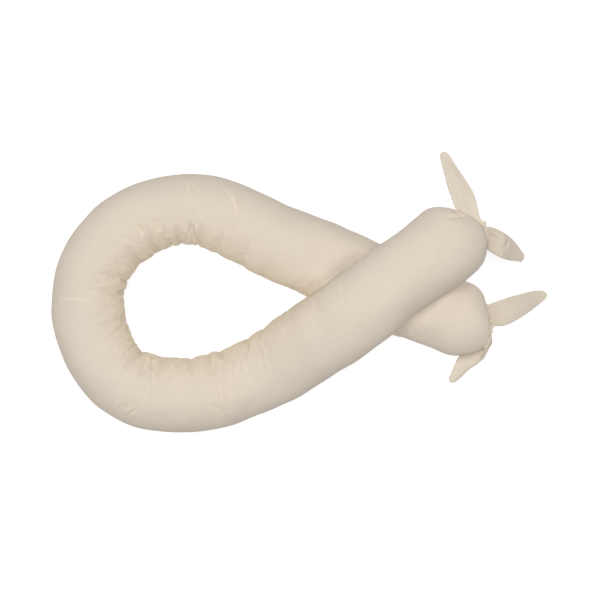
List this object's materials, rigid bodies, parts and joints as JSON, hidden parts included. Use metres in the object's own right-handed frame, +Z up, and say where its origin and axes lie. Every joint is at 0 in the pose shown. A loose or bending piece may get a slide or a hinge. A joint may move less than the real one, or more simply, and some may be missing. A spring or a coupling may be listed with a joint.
{
  "type": "bed bumper",
  "caption": "Long stuffed cotton tube lying in a crossed loop, each end gathered into a seam that holds leaf-shaped ties, for padding the inside of a cot.",
  "frame": {"origin": "middle of the bumper's outline, on the floor that it lies on", "axes": "+X from the loop towards the two ends, +Y across the loop, +Z up from the floor"},
  "size_m": [1.0206, 0.5663, 0.259],
  "materials": {
    "cover_cotton": "matte plain-weave cotton",
    "tie_cotton": "matte plain-weave cotton, double"
  },
  "bodies": {
    "root": {"bumper_body": "cover_cotton", "tie_upper_left": "tie_cotton", "tie_upper_right": "tie_cotton", "tie_lower_right": "tie_cotton", "tie_lower_left": "tie_cotton"}
  },
  "joints": []
}
